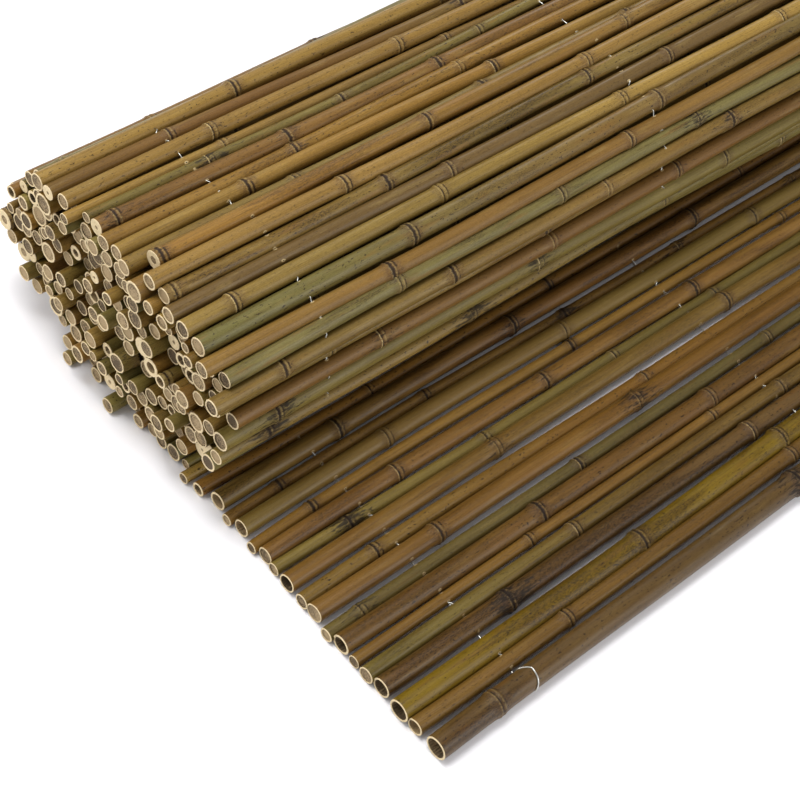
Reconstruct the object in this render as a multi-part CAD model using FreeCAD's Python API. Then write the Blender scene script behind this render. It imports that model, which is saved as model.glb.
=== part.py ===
"""Bamboo screening roll: a cane screen wound into an oval roll, with its last canes laid out flat.

Millimetres. X runs along the canes, with the ends that show in the photo toward -X. The unrolled end of
the screen lies on the floor toward -Y, and Z is up from the floor.
"""
import math
import os
import random

import FreeCAD
import Part

os.makedirs("parts", exist_ok=True)

# the screen as sold
SCREEN_HEIGHT = 1200.0        # length of every cane
WIRE_ROWS = 5
FIRST_ROW = 66.0              # from the cane ends to the outer rows
ROW_PITCH = (SCREEN_HEIGHT - 2 * FIRST_ROW) / (WIRE_ROWS - 1)

# the canes of the roll
CANE_MEAN = 9.9               # diameter over the corners
CANE_SPREAD = 1.55
CANE_LEAST, CANE_MOST = 7.0, 13.4
TAPER_SHARE = 0.05            # gain or loss of radius from one end to the other
CANE_GAP = 0.12               # clear distance between neighbours
BORE_SHARE = 0.52             # bore diameter over cane diameter
CLOSED_SHARE = 0.06           # canes cut through a node, so without a bore
CORE_CANES = 10               # width of the flat fold at the heart of the roll
STAGGER_OUT, STAGGER_IN = 15.0, 7.0   # how far the rolled ends stand out of and behind the laid-out ones
FLOOR_RUN_MOST = 12.4         # the canes that lie under the roll
TURNS = 5                     # full turns round the fold before the screen runs out on the floor

# the canes laid out in front, outermost first: centre from the outermost, diameter, end offset
APRON = (
    (0.0, 13.8, 0.5), (16.3, 10.5, 0.5), (27.9, 13.2, -1.0), (43.8, 12.0, 0.5), (54.4, 10.2, -1.0),
    (64.7, 7.8, -0.5), (76.1, 11.7, -0.5), (85.6, 8.5, -2.5), (99.2, 11.5, 0.0), (108.6, 9.2, -0.5),
    (121.6, 11.3, -0.5), (133.3, 7.9, 0.0), (142.0, 10.4, 1.0), (150.9, 7.5, -1.5), (163.2, 10.8, 1.0),
    (172.8, 7.4, -1.5), (184.4, 11.4, 1.0), (197.3, 8.6, -2.5),
)
APRON_UNDER_ROLL = 24.0       # how far behind the front of the roll the last cane under it lies
APRON_TO_RUN = 10.7           # from the innermost listed cane to the last one under the roll

GRIP_LENGTH = 60.0            # round stub of the end cane, short of the first wire
GRIP_STEP = 0.1               # the stem beyond the stub is this much smaller in radius

# the wire
WIRE = 1.2
WIRE_HEIGHT = 4.7
WIRE_CLEARANCE = 0.25         # around the wire in each drilled cane
LOOP_CLEARANCE = 0.35         # between the loop and the end cane
WIRE_END_RISE = 0.8           # clear height of the loop's end over the straight run
DRILL_OVERRUN = 2.0           # a drill starts and ends this far outside the cane

SIDES = 8
BORE_SIDES = 4
FLAT = math.cos(math.pi / SIDES)


class Cane:
    """One cane: centre line, radii over the corners at both ends, and where it starts along X."""

    def __init__(self, radius, taper, start, closed):
        self.near = radius * (1 - taper / 2)
        self.far = radius * (1 + taper / 2)
        self.start = start
        self.closed = closed
        self.y = 0.0
        self.z = 0.0

    @property
    def widest(self):
        return max(self.near, self.far)

    @property
    def rest(self):
        return self.widest * FLAT


def reach(a, b):
    """Centre distance at which two canes clear each other all along."""
    return max(a.near + b.near, a.far + b.far) + CANE_GAP


def side_step(a, b):
    """Distance along Y at which the flats of two canes on the floor clear each other all along."""
    flats = max(a.near + b.near, a.far + b.far) * FLAT + CANE_GAP
    drop = abs(a.rest - b.rest)
    normals = [2 * math.pi * k / SIDES for k in range(SIDES) if 4 * k < SIDES]
    return min((flats - drop * math.sin(t)) / math.cos(t) for t in normals)


def random_cane(most=CANE_MOST):
    """A cane of the roll, with its size and stagger drawn from the seeded series."""
    size = min(most, max(CANE_LEAST, rng.gauss(CANE_MEAN, CANE_SPREAD)))
    taper = rng.uniform(0.4, 1.0) * TAPER_SHARE * rng.choice((-1, 1))
    start = rng.triangular(-STAGGER_OUT, STAGGER_IN, -STAGGER_OUT / 3)
    return Cane(size / 2, taper, start, rng.random() < CLOSED_SHARE)


def clear_of(cane, y, z, others):
    """True where the cane at (y, z) overlaps none of the others."""
    return all(math.hypot(o.y - y, o.z - z) >= reach(o, cane) - 1e-6 for o in others)


def wind_next(cane, canes, floor):
    """Lay the cane against the last one, swept clockwise inward until it meets the roll or the floor."""
    last = canes[-1]
    span = reach(last, cane)
    spots = []
    for other in canes[:-1]:
        d = math.hypot(other.y - last.y, other.z - last.z)
        away = reach(other, cane)
        if d > span + away or d < 1e-9:
            continue
        along = (span * span - away * away + d * d) / (2 * d)
        square = span * span - along * along
        if square < 0:
            continue
        side = math.sqrt(square)
        uy, uz = (other.y - last.y) / d, (other.z - last.z) / d
        for s in (-side, side):
            spots.append((last.y + uy * along - uz * s, last.z + uz * along + uy * s))
    beside = None
    if floor is not None:
        drop = floor + cane.rest - last.z
        if abs(last.z - last.rest - floor) < 1e-6:
            beside = (last.y - side_step(last, cane), floor + cane.rest)
            spots.append(beside)
        elif abs(drop) < span:
            spots.append((last.y - math.sqrt(span * span - drop * drop), floor + cane.rest))
    before = canes[-2]
    heading = math.atan2(last.z - before.z, last.y - before.y)
    outward = heading + math.radians(100)
    fold = canes[CORE_CANES - 1].y
    ry, rz = last.y - min(fold, max(-fold, last.y)), last.z
    best = None
    for y, z in spots:
        if floor is not None and z < floor + cane.rest - 1e-6:
            continue
        turns_back = (y - last.y) * rz - (z - last.z) * ry < -0.35 * span * math.hypot(ry, rz)
        sweep = (outward - math.atan2(z - last.z, y - last.y)) % (2 * math.pi) + 7 * turns_back
        others = canes[:-1] if (y, z) == beside else canes
        if (best is None or sweep < best[0]) and clear_of(cane, y, z, others):
            best = (sweep, y, z)
    _, cane.y, cane.z = best
    return cane


def wind_roll():
    """Wind the canes from the flat fold outward and end on the floor under the roll."""
    canes = []
    for i in range(CORE_CANES):
        cane = random_cane()
        if canes:
            cane.y = canes[-1].y + reach(canes[-1], cane)
        canes.append(cane)
    middle = canes[-1].y / 2
    for cane in canes:
        cane.y -= middle
    turned, turns, floor = 0.0, [0] * CORE_CANES, None
    while True:
        cane = wind_next(random_cane(FLOOR_RUN_MOST if floor is not None else CANE_MOST), canes, floor)
        step = math.atan2(canes[-1].z, canes[-1].y) - math.atan2(cane.z, cane.y)
        turned += (step + math.pi) % (2 * math.pi) - math.pi
        front = min(c.y - c.widest for c in canes)
        if floor is None and turned >= TURNS * 2 * math.pi:
            floor = min(c.z - c.widest for c in canes) - FLOOR_RUN_MOST * (1 + TAPER_SHARE / 2) - CANE_GAP
        if floor is not None and cane.y < front + APRON_UNDER_ROLL:
            break
        canes.append(cane)
        turns.append(1 + int(turned // (2 * math.pi)))
    on_floor = [c for c in canes[-40:] if abs(c.z - c.rest - floor) < 0.05]
    for cane in canes:
        cane.z -= floor
    return canes, turns, on_floor


def lay_apron(last):
    """Lay the listed canes out on the floor, from the roll toward the free end."""
    canes = []
    for i in range(len(APRON) - 1, -1, -1):
        place, size, start = APRON[i]
        taper = (0.0 if i == 0 else TAPER_SHARE * (-1) ** i * (0.5 + 0.25 * (i % 3)))
        cane = Cane(size / 2 / (1 - taper / 2), taper, start, False)
        if i == 0:
            cane.z = size / 2
        else:
            cane.z = cane.rest
        behind = canes[-1] if canes else last
        ideal = behind.y - ((APRON[i + 1][0] - place) if i + 1 < len(APRON) else APRON_TO_RUN)
        cane.y = min(ideal, behind.y - side_step(behind, cane))
        canes.append(cane)
    return canes[::-1]


def ring(x, radius, sides, y, z):
    """Corner points of a regular section with flats toward +-Y and +-Z."""
    turn = math.pi / sides
    return [FreeCAD.Vector(x, y + radius * math.cos(turn + 2 * math.pi * k / sides),
                           z + radius * math.sin(turn + 2 * math.pi * k / sides)) for k in range(sides)]


def prism(x0, r0, x1, r1, sides, y, z):
    """A tapered prism along X as a solid with flat faces."""
    a, b = ring(x0, r0, sides, y, z), ring(x1, r1, sides, y, z)
    faces = [Part.Face(Part.makePolygon(a + a[:1])), Part.Face(Part.makePolygon(b + b[:1]))]
    for k in range(sides):
        n = (k + 1) % sides
        faces.append(Part.Face(Part.makePolygon([a[k], a[n], b[n], b[k], a[k]])))
    solid = Part.makeSolid(Part.makeShell(faces))
    if solid.Volume < 0:
        solid.reverse()
    return solid


def tube(x0, r0, x1, r1, y, z, sides, bore_sides):
    """A tapered cane with a bore right through, made of flat faces."""
    b0, b1 = r0 * BORE_SHARE, r1 * BORE_SHARE
    outer = (ring(x0, r0, sides, y, z), ring(x1, r1, sides, y, z))
    inner = (ring(x0, b0, bore_sides, y, z), ring(x1, b1, bore_sides, y, z))
    faces = []
    for o, i in zip(outer, inner):
        faces.append(Part.Face([Part.makePolygon(o + o[:1]), Part.makePolygon(i + i[:1])],
                               "Part::FaceMakerBullseye"))
    for (a, b), count in ((outer, sides), (inner, bore_sides)):
        for k in range(count):
            n = (k + 1) % count
            faces.append(Part.Face(Part.makePolygon([a[k], a[n], b[n], b[k], a[k]])))
    shell = Part.makeShell(faces)
    shell.sewShape()
    solid = Part.Solid(shell)
    if solid.Volume < 0:
        solid.reverse()
    return solid


def cane_solid(cane):
    """The solid of one octagonal cane."""
    ends = (cane.start, cane.near, cane.start + SCREEN_HEIGHT, cane.far)
    if cane.closed:
        return prism(*ends, SIDES, cane.y, cane.z)
    return tube(*ends, cane.y, cane.z, SIDES, BORE_SIDES)


def gripped_cane(cane):
    """The end cane, with its free stub truly round, so that a clip or ring seats on it."""
    origin, along = FreeCAD.Vector(cane.start, cane.y, cane.z), FreeCAD.Vector(1, 0, 0)
    stub = Part.makeCylinder(cane.near, GRIP_LENGTH, origin, along)
    end, body, bore = cane.start + SCREEN_HEIGHT, cane.near - GRIP_STEP, cane.near * BORE_SHARE
    stem = prism(cane.start + GRIP_LENGTH, body, end, body, SIDES, cane.y, cane.z)
    drill = prism(cane.start - DRILL_OVERRUN, bore, end + DRILL_OVERRUN, bore, BORE_SIDES, cane.y, cane.z)
    return stub.fuse(stem).cut(drill)


def drilled(solid, cane):
    """The cane with one hole across it for every row of wire."""
    size = WIRE + 2 * WIRE_CLEARANCE
    depth = 2 * (cane.widest + DRILL_OVERRUN)
    holes = []
    for row in range(WIRE_ROWS):
        x = FIRST_ROW + row * ROW_PITCH
        corner = FreeCAD.Vector(x - size / 2, cane.y - depth / 2, WIRE_HEIGHT - size / 2)
        holes.append(Part.makeBox(size, depth, size, corner))
    return solid.cut(holes)


def wire_path(end_cane, inner_y):
    """Corner points (y, z) of one wire: along the apron, through the end cane and back over its top."""
    away = end_cane.near + LOOP_CLEARANCE + WIRE / 2
    away /= math.cos(math.radians(22.5))
    path = [(inner_y, WIRE_HEIGHT), (end_cane.y - away * 1.02, WIRE_HEIGHT)]
    for degrees in (157.5, 112.5, 67.5, 22.5):
        a = math.radians(degrees)
        path.append((end_cane.y + away * math.cos(a), end_cane.z + away * math.sin(a)))
    path.append((path[-1][0], WIRE_HEIGHT + WIRE + WIRE_END_RISE))
    return path


def wire_solid(path, x):
    """A flat-faced wire of square section that follows the path in the plane at x."""
    half = WIRE / 2
    left, right = [], []
    for i, (y, z) in enumerate(path):
        before = path[max(i - 1, 0)]
        after = path[min(i + 1, len(path) - 1)]
        a = (y - before[0], z - before[1]) if i else (after[0] - y, after[1] - z)
        b = (after[0] - y, after[1] - z) if i + 1 < len(path) else a
        na = (-a[1] / math.hypot(*a), a[0] / math.hypot(*a))
        nb = (-b[1] / math.hypot(*b), b[0] / math.hypot(*b))
        m = (na[0] + nb[0], na[1] + nb[1])
        scale = 2 * half / (m[0] * m[0] + m[1] * m[1])
        left.append(FreeCAD.Vector(x - half, y + m[0] * scale, z + m[1] * scale))
        right.append(FreeCAD.Vector(x - half, y - m[0] * scale, z - m[1] * scale))
    outline = left + right[::-1]
    face = Part.Face(Part.makePolygon(outline + outline[:1]))
    return face.extrude(FreeCAD.Vector(WIRE, 0, 0))


def build():
    """All nodes of the roll as name -> list of solids, in the roll's own place."""
    canes, turns, on_floor = wind_roll()
    apron = lay_apron(canes[-1])
    nodes = {}
    under = {id(c) for c in on_floor}
    last_turn = max(turns)
    for cane, turn in zip(canes, turns):
        if id(cane) in under:
            name = "floor_run"
        elif turn == 0:
            name = "core_fold"
        else:
            name = "turn_%d" % turn
        solid = cane_solid(cane)
        nodes.setdefault(name, []).append(drilled(solid, cane) if cane is canes[-1] else solid)
    nodes["apron_canes"] = [drilled(cane_solid(c), c) for c in apron[1:]]
    nodes["end_cane"] = [drilled(gripped_cane(apron[0]), apron[0])]
    path = wire_path(apron[0], canes[-1].y)
    for row in range(WIRE_ROWS):
        nodes["wire_row_%d" % (row + 1)] = [wire_solid(path, FIRST_ROW + row * ROW_PITCH)]
    screen = sum(math.hypot(b.y - a.y, b.z - a.z) for a, b in zip(canes, canes[1:])) + canes[-1].y - apron[0].y
    print("canes in the roll", len(canes), "on the floor", len(on_floor), "turns", last_turn,
          "screen length %.0f" % screen)
    print("roll width %.1f height %.1f front from end cane %.1f" % (
        max(c.y + c.widest for c in canes) - min(c.y - c.widest for c in canes),
        max(c.z + c.widest for c in canes), min(c.y - c.widest for c in canes) - apron[0].y))
    return nodes


def export(nodes):
    """Move everything to the shared origin and write one file per node."""
    box = FreeCAD.BoundBox()
    for solids in nodes.values():
        for solid in solids:
            box.add(solid.BoundBox)
    move = FreeCAD.Vector(-box.Center.x, -box.Center.y, -box.ZMin)
    for name, solids in nodes.items():
        shape = Part.makeCompound(solids) if len(solids) > 1 else solids[0]
        shape.translate(move)
        shape.exportStep("parts/%s.step" % name)
    print("box %.1f x %.1f x %.1f" % (box.XLength, box.YLength, box.ZLength), "moved by", move)


rng = random.Random(96)
export(build())
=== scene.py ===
"""Looks of a bamboo screening roll: weathered canes on wire, wound up with the free end laid out.

Metres. The canes run along X, their near cut ends toward -X, the laid-out canes lie toward -Y, Z is up.
"""

import logging
import math
import random
from dataclasses import dataclass, field
from enum import Enum

import bpy
import numpy as np
from mathutils import Matrix, Vector


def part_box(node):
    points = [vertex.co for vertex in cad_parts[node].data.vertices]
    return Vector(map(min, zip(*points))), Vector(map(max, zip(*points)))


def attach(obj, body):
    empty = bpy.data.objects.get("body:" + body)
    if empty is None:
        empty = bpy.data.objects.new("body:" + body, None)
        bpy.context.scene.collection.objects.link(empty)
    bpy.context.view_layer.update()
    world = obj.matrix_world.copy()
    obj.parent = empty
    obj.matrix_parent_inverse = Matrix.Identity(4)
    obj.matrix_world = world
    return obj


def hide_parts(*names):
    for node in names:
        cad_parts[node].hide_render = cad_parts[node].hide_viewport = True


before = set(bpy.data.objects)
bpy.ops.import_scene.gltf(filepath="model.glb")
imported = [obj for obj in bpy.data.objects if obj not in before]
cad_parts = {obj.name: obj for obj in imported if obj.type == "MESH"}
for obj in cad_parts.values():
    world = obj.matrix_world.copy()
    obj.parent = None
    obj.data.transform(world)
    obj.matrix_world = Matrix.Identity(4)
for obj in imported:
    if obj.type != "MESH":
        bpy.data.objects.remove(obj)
LOG = logging.getLogger("screening")
MM = 0.001
ROWS = 5  # rows of wire
SEED = 11  # starts the one series of random draws
Pair = tuple[float, float]
Triple = tuple[float, float, float]
Socket = bpy.types.NodeSocket
Material = bpy.types.Material


def skin_colour(*levels: int) -> Triple:
    """Turns a screen colour of 0 to 255 into the linear values that shaders use.

    Args:
        levels: Red, green and blue on the screen.

    Returns:
        The three linear values.
    """
    shares = [level / 255 for level in levels]
    return tuple(c / 12.92 if c <= 0.04045 else ((c + 0.055) / 1.055) ** 2.4 for c in shares)


def link(name: str, data: bpy.types.ID) -> bpy.types.Object:
    """Makes an object of a mesh, lamp or camera and links it to the scene."""
    ob = bpy.data.objects.new(name, data)
    bpy.context.scene.collection.objects.link(ob)
    return ob


class CaneTone(Enum):
    """Natural skin colours found in one batch of canes."""

    OLIVE = skin_colour(134, 123, 68)
    MOSS = skin_colour(120, 116, 72)
    STRAW = skin_colour(160, 132, 70)
    OCHRE = skin_colour(156, 122, 58)
    TAN = skin_colour(148, 118, 62)
    BROWN = skin_colour(128, 98, 52)
    GREY_BROWN = skin_colour(124, 102, 62)
    YELLOW_GREEN = skin_colour(150, 130, 36)


class Surface(Enum):
    """Material slots of a cane mesh, in slot order."""

    SKIN = 0
    CUT = 1
    PITH = 2


@dataclass(frozen=True)
class CaneSpec:
    """One cane as it lies in the roll: its axis, its radii and where it is cut."""

    y: float
    z: float
    near_radius: float
    far_radius: float
    near_x: float
    far_x: float
    closed: bool

    def share(self, x: float) -> float:
        """Where x is along the stem, from 0 at the near end to 1 at the far one."""
        return (x - self.near_x) / (self.far_x - self.near_x)

    def radius(self, x: float) -> float:
        """The plain radius of the stem at x."""
        return self.near_radius + (self.far_radius - self.near_radius) * self.share(x)


def read_canes(node: str) -> list[CaneSpec]:
    """Reads the canes of one CAD node, in the order of its solids.

    Args:
        node: Name of the CAD node.

    Returns:
        One entry for each separate stem.
    """
    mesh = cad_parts[node].data
    count = len(mesh.vertices)
    points = np.empty(count * 3)
    mesh.vertices.foreach_get("co", points)
    points = points.reshape(-1, 3)
    _, same = np.unique(np.round(points, 5), axis=0, return_inverse=True)
    same = same.ravel()
    parent = list(range(int(same.max()) + 1))

    def root(i: int) -> int:
        """The group that point i belongs to."""
        while parent[i] != i:
            parent[i] = parent[parent[i]]
            i = parent[i]
        return i

    for polygon in mesh.polygons:
        ids = [root(int(same[v])) for v in polygon.vertices]
        for i in ids[1:]:
            parent[root(i)] = root(ids[0])
    groups: dict[int, list[int]] = {}
    for v in range(count):
        groups.setdefault(root(int(same[v])), []).append(v)
    canes = []
    for members in groups.values():
        own = points[members]
        near_x, far_x = own[:, 0].min(), own[:, 0].max()
        near, far = own[own[:, 0] < near_x + 1e-5], own[own[:, 0] > far_x - 1e-5]
        middle = (near[:, 1:].max(axis=0) + near[:, 1:].min(axis=0)) / 2
        reach_near = np.hypot(*(near[:, 1:] - middle).T)
        reach_far = np.hypot(*(far[:, 1:] - middle).T)
        canes.append(CaneSpec(float(middle[0]), float(middle[1]), float(reach_near.max()),
                              float(reach_far.max()), float(near_x), float(far_x),
                              bool(reach_near.min() > 0.8 * reach_near.max())))
    return canes


@dataclass(frozen=True)
class Joint:
    """One node of a cane: where it sits, how far it swells, how mouldy, pale-lipped and bold it is."""

    x: float
    swell: float
    mould: float
    pale: float
    bold: float
    kink: Pair


@dataclass
class CaneLook:
    """What one cane looks like: its two tones, its joints and its chance marks."""

    tone: Triple
    drift: Triple
    joints: list[Joint]
    seed: float
    stain: float
    speckle: float
    wobble: float
    skew: Pair
    lying: bool
    pith_depth: Pair
    pith_share: float
    soiled: Pair | None

    def stain_at(self, x: float) -> float:
        """How stained the skin is at x: up to 1 by chance, above that where it is soiled all over."""
        if not self.soiled:
            return self.stain
        start, end = self.soiled
        fades = (start - 30 * MM, start + 20 * MM, end, end + 40 * MM)
        return self.stain + float(np.interp(x, fades, (0, 0.9, 0.7, 0)))

    def tone_at(self, x: float) -> Triple:
        """The skin colour at x, which drifts along the cane between its two tones."""
        share = 0.5 + 0.5 * math.sin(7.3 * x + 3.1 * self.seed) * math.sin(3.7 * x + self.seed)
        return tuple(a + (b - a) * share for a, b in zip(self.tone, self.drift))


@dataclass(frozen=True)
class Habit:
    """What is known of a cane before chance fills in the rest; lengths in millimetres."""

    tone: CaneTone | None = None
    drift: CaneTone | None = None
    first_joint: float | None = None
    spacing: float | None = None
    mould: float | None = None
    stain: float | None = None
    soiled: Pair | None = None
    hollow: bool = False
    sealed: bool = False


@dataclass
class LookMaker:
    """Draws the chance features of the canes from one seeded series."""

    series: random.Random
    shortest: float = 105 * MM
    longest: float = 215 * MM
    mouldy: float = 0.2
    pale_lipped: float = 0.12
    deep: float = 0.08
    end_jointed: float = 0.14
    first_clear: float = 0.012
    last_clear: float = 8 * MM
    spread: Pair = (0.86, 1.1)
    strong_mould: Pair = (0.5, 1.0)
    faint_mould: Pair = (0.05, 0.25)
    clear_lip: Pair = (0.5, 0.9)
    faint_lip: Pair = (0, 0.15)
    known_lip: float = 0.1
    swelling: Pair = (0.85, 1.25)
    lightness: Pair = (0.84, 1.22)
    hue: Pair = (0.97, 1.03)

    # how often each tone is drawn
    TONES = {CaneTone.OLIVE: 27, CaneTone.MOSS: 11, CaneTone.STRAW: 20, CaneTone.OCHRE: 14,
             CaneTone.TAN: 15, CaneTone.BROWN: 7, CaneTone.GREY_BROWN: 4}

    def joints(self, spec: CaneSpec, habit: Habit, kink: float) -> list[Joint]:
        """Places the joints of a cane.

        Args:
            spec: The cane.
            habit: What is known of it.
            kink: How far the stem may bend aside at a joint.

        Returns:
            The joints from the near end to the far end.
        """
        rng = self.series
        usual = habit.spacing * MM if habit.spacing else rng.uniform(self.shortest, self.longest)
        first = habit.first_joint * MM if habit.first_joint else rng.uniform(self.first_clear, 1.0) * usual
        x = spec.near_x + first
        places = []
        while x < spec.far_x - self.last_clear:
            places.append(x)
            x += usual * (1.0 if habit.spacing and len(places) == 1 else rng.uniform(*self.spread))
        joints = []
        for i, place in enumerate(places):
            mould = rng.uniform(*(self.strong_mould if rng.random() < self.mouldy else self.faint_mould))
            bold = rng.random() ** 0.9
            pale = rng.uniform(*(self.clear_lip if rng.random() < self.pale_lipped else self.faint_lip))
            if i == 0 and habit.mould is not None:
                mould, pale = habit.mould, self.known_lip
            joints.append(Joint(place, rng.uniform(*self.swelling) + 0.5 * bold, mould, pale, bold,
                                (rng.uniform(-kink, kink), rng.uniform(-kink, kink))))
        return joints

    def colour(self, tone: CaneTone | None) -> Triple:
        """A skin colour of this tone, or of a chance one, with its own lightness."""
        rng = self.series
        drawn = rng.choices(list(self.TONES), list(self.TONES.values()))[0]
        lift = rng.uniform(*self.lightness)
        return tuple(c * lift * rng.uniform(*self.hue) for c in (tone or drawn).value)

    def look(self, spec: CaneSpec, habit: Habit = Habit(), wobble: float = 0.3 * MM,
             lying: bool = False) -> CaneLook:
        """Draws the look of one cane.

        Args:
            spec: The cane.
            habit: What is known of it.
            wobble: How far the stem strays from its axis.
            lying: True for a cane that rests on the floor.

        Returns:
            The look.
        """
        rng = self.series
        tone = self.colour(habit.tone)
        drift = self.colour(habit.drift) if habit.drift or rng.random() < 0.7 else tone
        stain = rng.random() ** 1.5 if habit.stain is None else habit.stain
        depth, share = [rng.uniform(0.3, 0.9) * MM for _ in range(2)], rng.uniform(0.76, 0.87)
        if habit.hollow:
            depth[0], share = rng.uniform(4, 7) * MM, rng.uniform(0.78, 0.84)
        elif habit.sealed:
            depth[0], share = 0.3 * MM, rng.uniform(0.12, 0.5)
        elif rng.random() < self.deep:
            depth[0], share = rng.uniform(9, 14) * MM, rng.uniform(0.48, 0.72)
        skew = (rng.uniform(-wobble, wobble), rng.uniform(-wobble, wobble))
        return CaneLook(tone, drift, self.joints(spec, habit, 0.5 * wobble), rng.uniform(0, 50), stain,
                        rng.random() ** 2, wobble, skew, lying, (depth[0], depth[1]), share,
                        tuple(spec.near_x + d * MM for d in habit.soiled) if habit.soiled else None)

    def rolled(self, spec: CaneSpec, wobble: float) -> CaneLook:
        """The look of a cane on the outside of the roll; some are cut at a joint.

        Args:
            spec: The cane.
            wobble: How far the stem strays from its axis.

        Returns:
            The look.
        """
        rng = self.series
        if rng.random() < self.end_jointed:
            habit = Habit(first_joint=rng.uniform(3, 13), mould=rng.uniform(0.4, 0.9), sealed=True)
        else:
            habit = Habit()
        return self.look(spec, habit, wobble, spec.z < spec.near_radius + wobble)


@dataclass
class StemMesh:
    """Collects the points, faces and values of one or more stems."""

    sides: int
    points: list[np.ndarray] = field(default_factory=list)
    faces: list[tuple[int, ...]] = field(default_factory=list)
    surfaces: list[int] = field(default_factory=list)
    corners: list[tuple[Pair, ...]] = field(default_factory=list)
    from_joint: list[tuple[float, ...]] = field(default_factory=list)
    values: dict[str, list[np.ndarray]] = field(default_factory=dict)
    size: int = 0

    def ring(self, x: float, stem: "StemShape", at: float, share: float = 1.0) -> int:
        """Adds one ring of points, and what the shaders read on it.

        Args:
            x: Where the ring lies.
            stem: The stem it belongs to.
            at: Where along the stem its middle, its outline and its looks are read.
            share: Its radius as a share of the stem's, below 1 on a cut end.

        Returns:
            Index of the ring's first point.
        """
        n, look, joint = self.sides, stem.look, stem.nearest(at)
        angle = 2 * math.pi * np.arange(n) / n
        dy, dz = stem.wander(at)
        y, z, radii = stem.spec.y + dy, stem.spec.z + dz, stem.radii(at, angle) * share
        own = np.column_stack((np.full(n, x), y + radii * np.cos(angle), z + radii * np.sin(angle)))
        self.points.append(own)
        arcs = [stem.exit_distance(at, a) / MM for a in angle]
        values = {"tone": np.tile((*look.tone_at(at), joint.bold), (n, 1)),
                  "grain": own - (-look.seed, y - look.seed * 0.37, z + look.seed * 0.61),
                  "marks": np.column_stack((np.full(n, joint.mould), arcs, np.full(n, joint.pale))),
                  "traits": np.tile((look.stain_at(at), look.speckle, share), (n, 1))}
        for name, rows in values.items():
            self.values.setdefault(name, []).append(rows)
        self.size += n
        return self.size - n

    def join(self, a: int, b: int, surface: Surface, uv_a: list[Pair],
             uv_b: list[Pair], joint: Pair) -> None:
        """Bridges two rings with quads.

        Args:
            a: First ring.
            b: Second ring.
            surface: Material of the quads.
            uv_a: Map places along the first ring, one more than its sides.
            uv_b: Map places along the second ring.
            joint: Distance of each ring from the joint nearest to the quads, in millimetres.
        """
        n = self.sides
        for k in range(n):
            m = (k + 1) % n
            self.faces.append((a + k, a + m, b + m, b + k))
            self.corners.append((uv_a[k], uv_a[k + 1], uv_b[k + 1], uv_b[k]))
            self.from_joint.append((joint[0], joint[0], joint[1], joint[1]))
            self.surfaces.append(surface.value)

    def close(self, ring: int, surface: Surface, uv: list[Pair], facing_near: bool) -> None:
        """Closes a ring with one face.

        Args:
            ring: The ring.
            surface: Material of the face.
            uv: Map places along the ring.
            facing_near: True where the face looks toward the near end.
        """
        order = list(range(self.sides))
        if facing_near:
            order.reverse()
        self.faces.append(tuple(ring + k for k in order))
        self.corners.append(tuple(uv[k] for k in order))
        self.from_joint.append((50.0,) * self.sides)
        self.surfaces.append(surface.value)


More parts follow.
